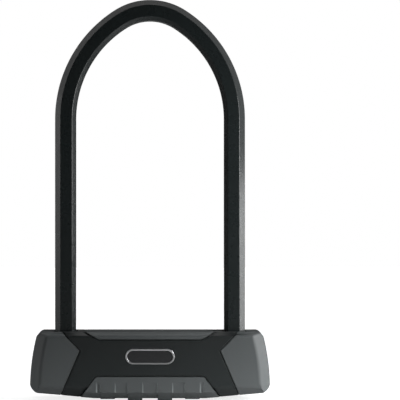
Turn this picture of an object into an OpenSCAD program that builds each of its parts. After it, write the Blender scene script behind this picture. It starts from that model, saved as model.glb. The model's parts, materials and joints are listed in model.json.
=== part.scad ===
// Bicycle U-lock. A coated square-bar shackle drops its two feet into a crossbar lock body.
// A key turns the disc cylinder under the body, and its cam throws one bolt into each foot.
// Millimetres, +Z up, the front faces -Y, and the two middle grip pads stand on z = 0.
// Drawn closed and unlocked: feet home, bolts drawn in.

/* [Shackle] */
// Clear width between the coated legs
inside_w = 108; // [102:1:120]
// Clear height from the lock body to the inside of the crown
inside_h = 225.9; // [180:0.1:300]
// Side of the square steel bar
bar_w = 13; // [12:0.5:14]
// Thickness of the vinyl coat
coat_t = 1.05; // [0.8:0.05:1.4]
// Flat cut off the coated bar's outer edges, measured along a face
outer_chamfer = 4.2; // [3.4:0.1:5]
// Flat cut off the coated bar's inner edges, measured along a face
inner_chamfer = 2.6; // [2:0.1:3.4]
// Bend radius at the crown, at the middle of the bar
crown_r = 40.1; // [36:0.1:44]
// Bend radius of the shoulders, at the middle of the bar
shoulder_r = 86.3; // [82:0.1:95]
// Bevel round the end of each foot
foot_bevel = 1.5; // [0.8:0.1:2.5]

/* [Lock body form] */
// Depth from front to back at the middle
body_d = 42; // [41:0.5:48]
// How far the body's ends stand outside the bar
end_overhang = 18.7; // [18:0.1:24]
// Radius of the bowed ends, seen from the front
flank_r = 160; // [130:1:220]
// Height of the body's widest level
flank_z = 8; // [6:0.5:12]
// Width of the slanted facet on the upright end edges
end_facet_w = 7.5; // [5:0.1:9]
// Depth of the slanted facet on the upright end edges
end_facet_d = 7; // [5:0.1:9]
// Drop of the sloped shoulder along the top edges
shoulder_drop = 2.3; // [1.5:0.1:2.6]
// Width of the sloped shoulder along the top edges
shoulder_run = 6.5; // [4:0.1:7]
// Height of the facet that turns under the body
fold_h = 8.5; // [6:0.1:9]
// Width of the facet that turns under the body
fold_run = 6.5; // [4:0.1:7]
// Height of the facet that turns under the grip panel
grip_fold_h = 4.8; // [3.5:0.1:6]
// Angle at which the underside rises towards the ends
underside_rise = 5.5; // [3:0.5:7]
// How far inside the leg's axis the underside starts to rise
underside_in = 22; // [12:0.5:24]
// Rounding of the upper end corners, seen from the front
top_corner_r = 6; // [3:0.5:7]
// Rounding of the lower end corners, seen from the front
bottom_corner_r = 8; // [5:0.5:9]

/* [Covers] */
// Thickness of the covers above the steel case
cover_t = 3.6; // [3.2:0.1:4.2]
// Thickness of the covers below the steel case
under_t = 6.6; // [6:0.1:7.2]
// Width of the groove between two cover pieces
groove_w = 1.2; // [0.8:0.1:1.6]
// Depth of that groove
groove_d = 0.8; // [0.5:0.1:1.2]
// Gap between a grey piece and the ledge of the black band under the groove
seam = 0.05; // [0.02:0.01:0.2]
// Rounding of the end cap's corners
cap_r = 1.2; // [0.8:0.1:2]
// How far inside the leg's axis the end cap's point stands
cap_tip_in = 11.4; // [9:0.1:14]
// How far below the top face the end cap's point stands
cap_tip_drop = 12.9; // [10:0.1:15]
// How far outside the leg's axis the end cap's upper edge ends
cap_top_out = 1.2; // [0:0.1:3]
// How far outside the leg's axis the end cap's lower edge ends
cap_foot_out = 3.5; // [2:0.1:6]
// How far below the top face the top panel's lower edge lies
top_panel_drop = 5.3; // [4.5:0.1:6.5]
// How far inside the leg's axis the top panel's lower corners stand
top_panel_in = 24.8; // [22:0.1:30]
// How far inside the leg's axis the top panel's upper corners stand
top_panel_rim_in = 14.1; // [13:0.1:18]
// Rounding of the top panel's corners
top_panel_r = 1.5; // [0.8:0.1:2.5]

/* [Grip panel] */
// Height of the grip panel
grip_h = 16.4; // [15:0.1:17.4]
// How far inside the leg's axis its upper corners stand
grip_in = 22.5; // [20:0.1:26]
// How far inside the leg's axis its lower corners stand
grip_foot_in = 10; // [9:0.1:13]
// Rounding of its upper corners
grip_r = 3.5; // [2:0.1:5]
// Width of a finger pad
pad_w = 10.5; // [8:0.1:11]
// Distance between the two middle pads
pad_gap = 11; // [9:0.1:13]
// Distance from one pad to the next one outwards
pad_pitch = 19.8; // [17:0.1:20.5]
// Depth of the finger recesses between the pads
recess_d = 0.6; // [0.4:0.1:1]
// Run of the slope at the recesses' sides
recess_wall = 0.8; // [0.4:0.1:1.2]
// Width of the narrow recess outside each outer pad
end_recess_w = 3; // [2:0.1:4]
// How far below the panel's upper edge the recesses start
recess_drop = 4; // [3:0.1:6]
// Height of the slope at the recesses' upper ends
recess_ramp = 3; // [1:0.1:4]
// How far the two middle pads stand below the underside
foot_h = 1.8; // [1.2:0.1:2.6]
// How far the two outer pads stand below the underside
outer_pad_h = 0.6; // [0.3:0.1:1]
// How far behind the front face the pads' lower facets start
pad_root = 0.5; // [0.3:0.1:1]
// Clearance round the key cylinder's face in the grip panel
aperture_gap = 0.3; // [0.2:0.05:0.5]

/* [Badge] */
// Length of the badge
badge_l = 35.5; // [28:0.5:40]
// Height of the badge
badge_h = 11.2; // [9:0.1:12]
// How far below the top face the badge's middle lies
badge_drop = 17.1; // [15.5:0.1:18.5]
// Width of the badge's rim
rim_w = 1.4; // [1:0.1:2]
// How far the rim stands out of the front face
rim_proud = 0.3; // [0.1:0.05:0.5]
// How far the badge's field lies below the rim
field_drop = 0.6; // [0.3:0.1:0.8]
// Thickness of the badge's field plate
field_t = 1.2; // [0.8:0.1:1.5]

/* [Steel case] */
// Depth of the steel case
case_d = 32; // [31:0.5:33]
// Height of the steel case
case_h = 37.2; // [36.8:0.1:37.6]
// Wall of the steel case
case_wall = 3.5; // [3:0.1:3.6]
// Rounding of the case's long edges
case_r = 3; // [2:0.5:4]
// Thickness of the plugs in the case's ends
plug_t = 5; // [4:0.1:6]
// Wall of the carrier outside each foot
socket_wall = 2.6; // [2:0.1:3.2]
// Thickness of the carrier below each foot's bumper
socket_floor_t = 1.5; // [1.2:0.1:2]
// Thickness of the rubber bumper under each foot
bumper_t = 1.1; // [0.8:0.1:1.2]
// Width of the rubber seal's frame round each leg
seal_w = 0.9; // [0.8:0.1:1.6]
// Thickness of the seal's inner lip
seal_lip_t = 0.9; // [0.6:0.1:1.2]

/* [Bolts and cam] */
// Height of a bolt's head
bolt_h = 12; // [11:0.1:12.4]
// Depth of a bolt from front to back
bolt_d = 10; // [8:0.1:11]
// Length of a bolt's head
bolt_head_l = 28; // [24:0.5:32]
// Height of the tongue that reaches over the cam
tongue_h = 6.4; // [5.6:0.1:6.8]
// Gap between a drawn-in bolt and the foot
tip_gap = 0.5; // [0.4:0.05:0.8]
// How far a tongue runs on past its pin
tongue_over = 0.9; // [0.7:0.1:1]
// Travel of each bolt over a quarter turn
bolt_throw = 5.2; // [4.4:0.1:5.4]
// Radius at which the cam holds the drawn-in pins
pin_start_r = 3.8; // [3.7:0.05:4]
// Diameter of the pins that ride in the cam
pin_d = 2.5; // [2:0.1:2.6]
// How far those pins are pressed into the tongues
pin_in = 4.6; // [4:0.1:4.8]
// Thickness of the cam
cam_t = 5.2; // [5:0.1:5.4]
// Depth of the cam's spiral grooves
cam_groove_d = 2.3; // [1.8:0.1:2.4]
// Wall left outside the cam's grooves
cam_rim = 0.9; // [0.6:0.1:1.1]
// Radius of the cam's screw
screw_r = 1.1; // [1:0.05:1.2]
// Radius of that screw's head
screw_head_r = 1.9; // [1.7:0.05:2]
// Thickness of that screw's head
screw_head_t = 1.3; // [1.1:0.05:1.5]
// Thickness of the core left below that screw
screw_floor = 0.5; // [0.4:0.05:0.7]
// Thickness of the carrier above the bolts
carrier_roof = 1.8; // [1.6:0.1:2]

/* [Key cylinder] */
// How far the key face lies inside the underside
key_recess = 2.85; // [2.5:0.05:3.2]
// Radius of the cylinder housing
housing_r = 10; // [9.6:0.1:10.2]
// Radius of the turning core
core_r = 7.6; // [7.4:0.1:7.8]
// Wall of the core
core_wall = 1.55; // [1.4:0.05:1.6]
// Thickness of the core's closed end
core_end_t = 1.8; // [1.5:0.1:2]
// Number of code discs
disc_count = 7; // [6:1:7]
// Thickness of the spacer on each disc
spacer_t = 0.4; // [0.3:0.05:0.45]
// Thickness of the hardened drill guard
guard_t = 1.4; // [1.2:0.1:1.6]
// Width of the key slot
key_w = 8.8; // [8:0.1:9]
// Thickness of the key slot
key_t = 2.8; // [2.4:0.1:3]
// Width of the sidebar
sidebar_w = 1.8; // [1.5:0.1:2]
// Depth of the gate that the sidebar drops into on each disc
gate_d = 1.2; // [1:0.05:1.2]
// Depth of the groove in the housing where the sidebar rests when locked
sidebar_rest = 1; // [0.8:0.1:1.2]
// Thickness of the core's front flange
flange_t = 1.2; // [1:0.1:1.4]
// How far the front flange stands out of the core
flange_out = 0.4; // [0.3:0.05:0.6]
// Side of the square drive on the core's end
drive_w = 7; // [6.4:0.1:7.2]
// Height of that square drive
drive_h = 2.2; // [2:0.1:2.3]
// Diameter of the pins that hold the housing
housing_pin_d = 3; // [2.5:0.1:3.2]
// How far outside the housing's wall their axes lie
housing_pin_out = 0.2; // [0:0.1:0.5]

/* [Keyhole shutter] */
// Radius of the shutter's knuckle
knuckle_r = 0.8; // [0.75:0.05:0.85]
// Radius of the shutter's pin
shutter_pin_r = 0.4; // [0.35:0.05:0.45]
// How far the shutter's pin runs into the face at each end
shutter_pin_in = 0.5; // [0.4:0.05:0.6]
// Height of the shutter's chamber behind the key face
shutter_room = 5.9; // [5.8:0.1:6.2]
// Radius of the shutter spring's wire
spring_wire_r = 0.13; // [0.1:0.01:0.15]
// Turns of the shutter spring
spring_turns = 4; // [3:1:5]
// Length of the shutter spring
spring_len = 2.6; // [2.4:0.1:3]
// Gap between the shutter spring and its pin
spring_gap = 0.12; // [0.1:0.01:0.14]

/* [Fits] */
// Clearance between pieces that are set in place
fit = 0.3; // [0.25:0.05:0.4]
// Clearance between pieces that are pressed or clamped together
snug = 0.1; // [0.05:0.05:0.15]
// Radial clearance of the small pins that are pressed in
pressed = 0.01; // [0.01:0.005:0.02]
// Clearance round the sliding bolts
slide_gap = 0.3; // [0.25:0.05:0.35]
// Radial clearance of the pieces that turn
running = 0.06; // [0.04:0.01:0.1]

/* [Hidden] */
// Facets of a small and of a wide curve in a preview
$fn = 96;
WIDE_FN = 720;
// Longer than the body in every direction
BIG = 400;
// Overshoot of a cut past the face that it opens
CUT = 1;
// Lift that keeps two nearly tangent faces apart
EDGE = 0.05;
// Length that the crown runs into the shoulders, and how far its faces stay inside theirs there
LAP = 0.5;
STEP = 0.03;
// Steps of a rounded corner, and the least rounding of a panel
ROUND_STEPS = 10;
LEAST_R = 0.3;
// Factor that carries a panel's slanted sides on past the body
PAST = 2;
// Angle between the unlocked and the locked core, and half a full turn
TURN = 90;
HALF_TURN = 180;
// How far the flat of a 45 degree chamfer grows per unit of an even coat
MITER = 2 - sqrt(2);
// Steps of a cam groove, and the spring's sides and steps per turn
CAM_STEPS = 16;
WIRE_SIDES = 6;
COIL_STEPS = 12;

coated_w = bar_w + 2 * coat_t;
leg_x = (inside_w + coated_w) / 2;
bar_face_x = leg_x - bar_w / 2;

// Levels of the body and the steel case
case_bottom = foot_h + under_t;
case_top = case_bottom + case_h;
body_top = case_top + fit + cover_t;
// Levels inside the case, and of the shackle
carrier_top = case_top - case_wall - snug;
carrier_bottom = case_bottom + case_wall + snug;
bolt_top = carrier_top - carrier_roof - slide_gap;
bolt_bottom = bolt_top - bolt_h;
tongue_bottom = bolt_top - tongue_h;
cam_top = tongue_bottom - slide_gap;
cam_bottom = cam_top - cam_t;
housing_top = cam_bottom - slide_gap;
chamber_top = housing_top - core_end_t;
key_face_z = foot_h + key_recess;
barrel_bottom = key_face_z + flange_t;
chamber_bottom = barrel_bottom + shutter_room;
housing_bottom = barrel_bottom + snug;
socket_floor = carrier_bottom + socket_floor_t;
leg_bottom = socket_floor + bumper_t + fit;
seal_bottom = case_top + snug;
sleeve_bottom = seal_bottom + seal_lip_t + fit;
crown_rise = sqrt(pow(shoulder_r - crown_r, 2) - pow(shoulder_r - leg_x, 2)) + crown_r;
spring_z = body_top + inside_h + coated_w / 2 - crown_rise;
shoulder_turn = acos((shoulder_r - leg_x) / (shoulder_r - crown_r));

// Lengths along the crossbar
body_half = leg_x + bar_w / 2 + end_overhang;
carrier_half = leg_x + bar_w / 2 + fit + socket_wall;
case_half = carrier_half + snug + plug_t;
bolt_tip_x = bar_face_x - tip_gap;
tongue_end_x = pin_start_r - pin_d / 2 - tongue_over;
cam_r = pin_start_r + bolt_throw + pin_d / 2 + snug + cam_rim;
carrier_d = case_d - 2 * case_wall - 2 * snug;
bore_r = core_r - core_wall;
disc_r = bore_r - snug;
disc_t = (chamber_top - chamber_bottom - guard_t - snug) / disc_count - spacer_t;

// Badge, from the front back
rim_front = -body_d / 2 - rim_proud;
field_front = rim_front + field_drop;
field_back = field_front + field_t;

// Places inside the key cylinder, with the shutter's axis behind one long edge of the key slot
pin_z = (housing_top + carrier_bottom) / 2;
pin_x = housing_r + housing_pin_out;
sidebar_bottom = chamber_bottom + guard_t + snug;
sidebar_top = chamber_top - snug;
sidebar_inner = disc_r - gate_d + snug;
screw_tip_z = chamber_top + screw_floor;
shutter_x = -key_t / 2 - knuckle_r - snug;
shutter_z = barrel_bottom + knuckle_r + snug;
shutter_half = key_w / 2 + snug;
spring_end = shutter_half - snug;
spring_r = shutter_pin_r + spring_wire_r + spring_gap;

// Plane geometry

function unit(v) = v / norm(v);
function left_of(a, b) = let (u = unit(b - a)) [-u[1], u[0]];

// An outline drawn anticlockwise, moved inwards by d
function inset(points, d) = let (n = len(points)) [for (i = [0:n - 1])
    let (before = left_of(points[(i + n - 1) % n], points[i]),
         after = left_of(points[i], points[(i + 1) % n]))
    points[i] + d * (before + after) / (1 + before * after)];

// An outline with each corner rounded by its own radius
function rounded(points, radii) = let (n = len(points)) [for (i = [0:n - 1])
    each corner_arc(points[(i + n - 1) % n], points[i], points[(i + 1) % n], radii[i])];

function corner_arc(a, b, c, r) = r <= 0 ? [b] :
    let (u = unit(b - a),
         v = unit(c - b),
         bend = atan2(u[0] * v[1] - u[1] * v[0], u * v),
         start = b - u * r * tan(abs(bend) / 2),
         centre = start + sign(bend) * r * [-u[1], u[0]],
         arm = start - centre)
    [for (k = [0:ROUND_STEPS]) let (t = bend * k / ROUND_STEPS)
        centre + [arm[0] * cos(t) - arm[1] * sin(t), arm[0] * sin(t) + arm[1] * cos(t)]];

function mirrored(points) = [for (i = [len(points) - 1:-1:0]) [-points[i][0], points[i][1]]];

// Prisms of an outline: along X from (y, z), along Y from (x, z)
module prism_x(points, length) {
    rotate([90, 0, 90]) linear_extrude(length, center = true) polygon(points);
}

module prism_y(points, length) {
    rotate([90, 0, 0]) linear_extrude(length, center = true) polygon(points);
}

// A bar along X with rounded long edges
module round_bar(length, depth, height, r) {
    rotate([90, 0, 90]) linear_extrude(length, center = true) {
        square([depth - 2 * r, height], center = true);
        square([depth, height - 2 * r], center = true);
        for (y = [-1, 1], z = [-1, 1])
            translate([y * (depth / 2 - r), z * (height / 2 - r)]) circle(r);
    }
}

// Section of the bar. x grows outwards from the middle of the loop, and grow adds to every face.
// A coat of even thickness keeps its flats parallel, so each flat shifts by the miter of its corner.
function bar_outline(grow) =
    let (h = bar_w / 2 + grow,
         shift = (grow - coat_t) * MITER,
         co = outer_chamfer + shift,
         ci = inner_chamfer + shift)
    [[-h + ci, -h], [h - co, -h], [h, -h + co], [h, h - co], [h - co, h], [-h + ci, h], [-h, h - ci],
     [-h, -h + ci]];

// A straight length of that section on the right (1) or left (-1) leg's axis
module leg(side, grow, bottom, top) {
    translate([side * leg_x, 0, bottom])
        linear_extrude(top - bottom)
            polygon(side > 0 ? bar_outline(grow) : mirrored(bar_outline(grow)));
}

// A bend round the origin in the XZ plane, so the revolve's axis turns to point along Y
module bend(r, from, turn) {
    rotate([90, 0, 0])
        rotate_extrude(start = from, angle = turn, $fn = WIDE_FN)
            translate([r, 0]) children();
}

// The U from the crown's centre down: shoulders and legs swept from the first child, and the crown from
// the second, a hair slimmer, which runs on into the shoulders.
module shackle_path(bottom) {
    drop = crown_rise - crown_r;
    lap = LAP / crown_r * HALF_TURN / PI;
    translate([0, 0, spring_z + drop]) {
        bend(crown_r, shoulder_turn - lap, HALF_TURN - 2 * shoulder_turn + 2 * lap) children(1);
        for (side = [0, 1])
            mirror([side, 0, 0]) translate([0, 0, -drop]) {
                translate([leg_x - shoulder_r, 0, 0]) bend(shoulder_r, 0, shoulder_turn) children(0);
                translate([leg_x, 0, bottom - spring_z]) linear_extrude(spring_z - bottom) children(0);
            }
    }
}

module shackle_bar() {
    notch_h = bolt_h + 2 * slide_gap;
    notch_depth = bolt_throw + fit - tip_gap;
    color("dimgray") difference() {
        shackle_path(leg_bottom) {
            polygon(bar_outline(0));
            polygon(bar_outline(-STEP));
        }
        for (side = [-1, 1]) {
            translate([side * (bar_face_x + (notch_depth - CUT) / 2), 0, bolt_bottom + bolt_h / 2])
                cube([notch_depth + CUT, bar_w + 2 * CUT, notch_h], center = true);
            foot_bevels(side);
        }
    }
}

// Slanted cuts round the end of a foot
module foot_bevels(side) {
    for (turn = [0:90:270])
        translate([side * leg_x, 0, leg_bottom])
            rotate([0, 0, turn])
                translate([bar_w / 2, 0, 0])
                    rotate([0, 45, 0])
                        cube([foot_bevel * sqrt(2), bar_w + 2 * CUT, foot_bevel * sqrt(2)], center = true);
}

// Section of the coat, thinned on both faces by thin
module coat_outline(thin) {
    difference() {
        polygon(bar_outline(coat_t - thin));
        polygon(bar_outline(snug + thin));
    }
}

module shackle_sleeve() {
    color([0.08, 0.1, 0.1]) shackle_path(sleeve_bottom) {
        coat_outline(0);
        coat_outline(STEP);
    }
}

// The form of the lock body, which all cover pieces are cut from

function section(under_h) = let (d = body_d / 2)
    [[-d + fold_run, foot_h], [d - fold_run, foot_h], [d, foot_h + under_h], [d, body_top - shoulder_drop],
     [d - shoulder_run, body_top], [-d + shoulder_run, body_top], [-d, body_top - shoulder_drop],
     [-d, foot_h + under_h]];

// Outline of the body from the front. Its flanks stand just outside the bowed ends, and only its
// corners and the rising underside cut.
function front_outline() =
    let (z = body_top - top_corner_r,
         run = sqrt(flank_r * flank_r - pow(z - flank_z, 2)),
         x = body_half - flank_r + run,
         lean = (z - flank_z) / run,
         flat = leg_x - underside_in,
         right = [[flat, foot_h], [body_half, foot_h + (body_half - flat) * tan(underside_rise)],
                  [body_half, z - (body_half - x) / lean], [x - lean * top_corner_r, body_top]])
    concat(right, mirrored(right));

module flank(side, shrink) {
    slope = end_facet_w / end_facet_d;
    reach = sqrt(1 + slope * slope);
    r = flank_r - shrink;
    inner_y = body_d / 2 - end_facet_d - shrink * (reach - 1) / slope;
    outer_y = body_d / 2 + end_facet_d;
    outer_r = flank_r - shrink * reach - 2 * end_facet_d * slope;
    translate([side * (body_half - flank_r), 0, flank_z])
        rotate([90, 0, 0])
            rotate_extrude($fn = WIDE_FN)
                polygon([[0, -outer_y], [outer_r, -outer_y], [r, -inner_y], [r, inner_y],
                         [outer_r, outer_y], [0, outer_y]]);
}

// The whole form, moved inwards by shrink
module body_form(shrink = 0, under_h = fold_h) {
    radii = [0, bottom_corner_r - shrink, 0, top_corner_r - shrink, top_corner_r - shrink, 0,
             bottom_corner_r - shrink, 0];
    intersection() {
        prism_x(inset(section(under_h), shrink), BIG);
        prism_y(rounded(inset(front_outline(), shrink - EDGE), radii), BIG);
        flank(1, shrink);
        flank(-1, shrink);
    }
}

// Outlines of the cover pieces from the front, before rounding

function cap_outline() =
    let (tip = [leg_x - cap_tip_in, body_top - cap_tip_drop],
         top = [leg_x + cap_top_out, body_top],
         low = [leg_x + cap_foot_out, foot_h],
         under = tip + PAST * (low - tip),
         above = tip + PAST * (top - tip))
    [tip, under, [BIG / 2, under[1]], [BIG / 2, above[1]], above];

function top_outline() =
    let (low = [leg_x - top_panel_in, body_top - top_panel_drop],
         rim = [leg_x - top_panel_rim_in, body_top],
         high = low + PAST * (rim - low))
    [[-low[0], low[1]], low, high, [-high[0], high[1]]];

function grip_outline() =
    let (high = [leg_x - grip_in, foot_h + grip_h],
         low = [leg_x - grip_foot_in, foot_h],
         deep = high + PAST * (low - high))
    [[-deep[0], deep[1]], deep, high, [-high[0], high[1]]];

// A panel's outline moved inwards, or outwards with a negative distance, its corners kept concentric
function panel(outline, r, d) = rounded(inset(outline, d), [for (p = outline) max(r - d, LEAST_R)]);

// Space inside the covers for the steel case
module cover_hollow() {
    length = 2 * (case_half + fit);
    translate([0, 0, (case_top + case_bottom) / 2])
        round_bar(length, case_d + 2 * fit, case_h + 2 * fit, case_r + fit);
}

// Hollow of the right end, outside the case
module end_hollow() {
    intersection() {
        body_form(cover_t);
        translate([case_half + BIG / 4, 0, (case_top + case_bottom) / 2])
            cube([BIG / 2, case_d - 2 * case_r, case_h - 2 * case_r], center = true);
    }
}

// Openings in the covers for the seals round the legs
module leg_openings() {
    size = coated_w + 2 * fit + 2 * seal_w + 2 * snug;
    for (side = [-1, 1])
        translate([side * leg_x, 0, body_top])
            cube([size, size, 2 * (cover_t + CUT)], center = true);
}

// A grey piece of the covers, out to its side of the groove
module cover_piece(outline, r, under_h = fold_h) {
    intersection() {
        body_form(0, under_h);
        prism_y(panel(outline, r, groove_w / 2), BIG);
    }
}

module end_cap() {
    difference() {
        cover_piece(cap_outline(), cap_r);
        cover_hollow();
        end_hollow();
        leg_openings();
    }
}

module right_end_cap() {
    color([0.36, 0.38, 0.38]) end_cap();
}

module left_end_cap() {
    color([0.36, 0.38, 0.38]) mirror([1, 0, 0]) end_cap();
}

module top_panel() {
    color([0.3, 0.32, 0.32]) difference() {
        cover_piece(top_outline(), top_panel_r);
        cover_hollow();
    }
}

// What is left of the form between the other cover pieces, moved away from them by gap
module band_layer(shrink, gap) {
    difference() {
        body_form(shrink);
        prism_y(panel(cap_outline(), cap_r, -gap), BIG);
        mirror([1, 0, 0]) prism_y(panel(cap_outline(), cap_r, -gap), BIG);
        prism_y(panel(top_outline(), top_panel_r, -gap), BIG);
        prism_y(panel(grip_outline(), grip_r, -gap), BIG);
    }
}

// The crossed black band, in a front and a rear half that meet over the top and under the body.
// A ledge of it makes the floor of the grooves, which run out where the top and the underside are flat.
module band_half(side) {
    ledge = seam - groove_w / 2;
    flat_d = body_d - 2 * max(shoulder_run, fold_run) - groove_d;
    difference() {
        union() {
            band_layer(0, groove_w / 2);
            band_layer(groove_d, ledge);
            intersection() {
                band_layer(snug, ledge);
                cube([BIG, flat_d, BIG], center = true);
            }
        }
        cover_hollow();
        leg_openings();
        translate([0, -side * (BIG / 2 - seam / 2), 0]) cube(BIG, center = true);
    }
}

module capsule(length, height) {
    square([length - height, height], center = true);
    for (side = [-1, 1])
        translate([side * (length - height) / 2, 0]) circle(d = height);
}

module badge_block(grow, front_y, back_y) {
    translate([0, back_y, body_top - badge_drop])
        rotate([90, 0, 0])
            linear_extrude(back_y - front_y)
                capsule(badge_l + 2 * grow, badge_h + 2 * grow);
}

module front_cover() {
    color([0.13, 0.15, 0.15]) difference() {
        band_half(-1);
        badge_block(snug, rim_front - CUT, field_back + snug);
    }
}

module rear_cover() {
    color([0.13, 0.15, 0.15]) band_half(1);
}

module badge_rim() {
    color("silver") difference() {
        badge_block(0, rim_front, field_back);
        badge_block(-rim_w, rim_front - CUT, field_back + CUT);
    }
}

module badge_plate() {
    color([0.08, 0.09, 0.1]) badge_block(-rim_w - EDGE, field_front, field_back);
}

// Foot of a finger pad: it leaves the panel's lower facet and runs under the body to the back
module pad_foot(x, below) {
    root = body_d / 2 - pad_root;
    top = foot_h + grip_fold_h;
    bottom = foot_h - below;
    flat = body_d / 2 - fold_run;
    start = top - grip_fold_h * (body_d / 2 - root) / fold_run + EDGE;
    translate([x, 0, 0])
        prism_x([[-flat, bottom], [flat, bottom], [root, start], [flat, top], [-flat, top], [-root, start]],
                pad_w);
}

// Finger recess in the front and the back face, sloped at its sides and its upper end
module finger_recess(x, w) {
    face = body_d / 2;
    top = foot_h + grip_h - recess_drop;
    run = min(recess_wall, w / 3);
    out = w / 2 + CUT * run / recess_d;
    in = w / 2 - run;
    profile = [[face - recess_d, -CUT], [face + CUT, -CUT], [face + CUT, top + CUT * recess_ramp / recess_d],
               [face - recess_d, top - recess_ramp]];
    plan = [[-in, face - recess_d], [in, face - recess_d], [out, face + CUT], [-out, face + CUT]];
    for (side = [0, 1])
        translate([x, 0, 0]) mirror([0, side, 0]) intersection() {
            prism_x(profile, 2 * out);
            translate([0, 0, -CUT]) linear_extrude(body_top) polygon(plan);
        }
}

module grip_panel() {
    x1 = (pad_gap + pad_w) / 2;
    x2 = x1 + pad_pitch;
    color([0.4, 0.42, 0.42]) difference() {
        union() {
            cover_piece(grip_outline(), grip_r, grip_fold_h);
            for (side = [-1, 1]) {
                pad_foot(side * x1, foot_h);
                pad_foot(side * x2, outer_pad_h);
            }
        }
        finger_recess(0, pad_gap);
        for (side = [-1, 1]) {
            finger_recess(side * (x1 + x2) / 2, pad_pitch - pad_w);
            finger_recess(side * (x2 + (pad_w + end_recess_w) / 2), end_recess_w);
        }
        cover_hollow();
        translate([0, 0, -CUT])
            cylinder(r = core_r + flange_out + aperture_gap, h = case_bottom + CUT);
        translate([0, 0, housing_bottom - fit])
            cylinder(r = housing_r + fit, h = case_bottom);
    }
}

// Steel case and what it holds

module leg_sockets(grow, bottom) {
    for (side = [-1, 1])
        leg(side, grow, bottom, body_top + CUT);
}

module steel_case() {
    color("slategray") difference() {
        translate([0, 0, (case_top + case_bottom) / 2])
            round_bar(2 * case_half, case_d, case_h, case_r);
        translate([0, 0, (case_top + case_bottom) / 2])
            cube([BIG, case_d - 2 * case_wall, case_h - 2 * case_wall], center = true);
        leg_sockets(fit, case_top - case_wall - CUT);
        translate([0, 0, case_bottom - CUT])
            cylinder(r = housing_r + fit, h = case_wall + 2 * CUT);
    }
}

module end_plug(side) {
    translate([side * (case_half - plug_t / 2), 0, (case_top + case_bottom) / 2])
        cube([plug_t, carrier_d, carrier_top - carrier_bottom], center = true);
}

module left_end_plug() {
    color("slategray") end_plug(-1);
}

module right_end_plug() {
    color("slategray") end_plug(1);
}

// Everything that the two carrier halves make room for
module carrier_rooms() {
    leg_sockets(fit, socket_floor);
    translate([0, 0, carrier_bottom - CUT])
        cylinder(r = housing_r + snug, h = housing_top - carrier_bottom + CUT + EDGE);
    translate([0, 0, housing_top])
        cylinder(r = cam_r + slide_gap, h = tongue_bottom - housing_top);
    translate([-leg_x, -bolt_d / 2 - slide_gap, tongue_bottom - slide_gap])
        cube([2 * leg_x, bolt_d + 2 * slide_gap, tongue_h + 2 * slide_gap]);
    for (side = [-1, 1]) {
        room_l = leg_x - bolt_tip_x + bolt_head_l + slide_gap;
        translate([side * (leg_x - room_l / 2), 0, bolt_bottom + bolt_h / 2])
            cube([room_l, bolt_d + 2 * slide_gap, bolt_h + 2 * slide_gap], center = true);
    }
    housing_pin_pair(housing_pin_d / 2 + EDGE, carrier_d + 2 * CUT);
}

module carrier_half_block(side) {
    difference() {
        translate([-carrier_half, side > 0 ? snug / 2 : -carrier_d / 2, carrier_bottom])
            cube([2 * carrier_half, carrier_d / 2 - snug / 2, carrier_top - carrier_bottom]);
        carrier_rooms();
    }
}

module front_carrier() {
    color("darkgray") carrier_half_block(-1);
}

module rear_carrier() {
    color("darkgray") carrier_half_block(1);
}

module leg_seal(side) {
    size = coated_w + 2 * fit + 2 * seal_w;
    difference() {
        translate([side * leg_x - size / 2, -size / 2, seal_bottom])
            cube([size, size, body_top - seal_bottom - fit]);
        leg(side, coat_t + fit, seal_bottom + seal_lip_t, body_top + CUT);
        leg(side, fit, seal_bottom - CUT, body_top);
    }
}

module left_leg_seal() {
    color([0.06, 0.06, 0.06]) leg_seal(-1);
}

module right_leg_seal() {
    color([0.06, 0.06, 0.06]) leg_seal(1);
}

module foot_bumper(side) {
    leg(side, 0, socket_floor, socket_floor + bumper_t);
}

module left_foot_bumper() {
    color([0.06, 0.06, 0.06]) foot_bumper(-1);
}

module right_foot_bumper() {
    color([0.06, 0.06, 0.06]) foot_bumper(1);
}

// Key cylinder

module housing_pin_pair(r, length) {
    for (side = [-1, 1])
        translate([side * pin_x, 0, pin_z])
            rotate([90, 0, 0]) cylinder(r = r, h = length, center = true);
}

module cylinder_housing() {
    bore = core_r + running;
    color("goldenrod") difference() {
        translate([0, 0, housing_bottom])
            cylinder(r = housing_r, h = housing_top - housing_bottom);
        translate([0, 0, housing_bottom - CUT])
            cylinder(r = bore, h = housing_top - housing_bottom + 2 * CUT);
        translate([-sidebar_w / 2 - snug, 0, chamber_bottom])
            cube([sidebar_w + 2 * snug, bore + sidebar_rest, chamber_top - chamber_bottom]);
        housing_pin_pair(housing_pin_d / 2 + EDGE, carrier_d);
    }
}

module housing_pins() {
    color("silver") housing_pin_pair(housing_pin_d / 2, carrier_d);
}

module core_face() {
    room_left = shutter_x - knuckle_r - snug;
    room_right = key_t / 2 + knuckle_r + 2 * snug;
    color("gold") difference() {
        union() {
            translate([0, 0, key_face_z])
                cylinder(r = core_r + flange_out, h = flange_t);
            translate([0, 0, barrel_bottom - EDGE])
                cylinder(r = disc_r, h = shutter_room + EDGE);
        }
        translate([-key_t / 2, -key_w / 2, key_face_z - CUT])
            cube([key_t, key_w, shutter_room]);
        translate([room_left, -shutter_half, barrel_bottom])
            cube([room_right - room_left, 2 * shutter_half, shutter_room + CUT]);
        translate([shutter_x, 0, shutter_z])
            rotate([90, 0, 0])
                cylinder(r = shutter_pin_r, h = 2 * (shutter_half + shutter_pin_in + snug), center = true);
    }
}

module shutter_pin() {
    color("silver") translate([shutter_x, 0, shutter_z])
        rotate([90, 0, 0])
            cylinder(r = shutter_pin_r - pressed, h = 2 * (shutter_half + shutter_pin_in), center = true);
}

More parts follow.
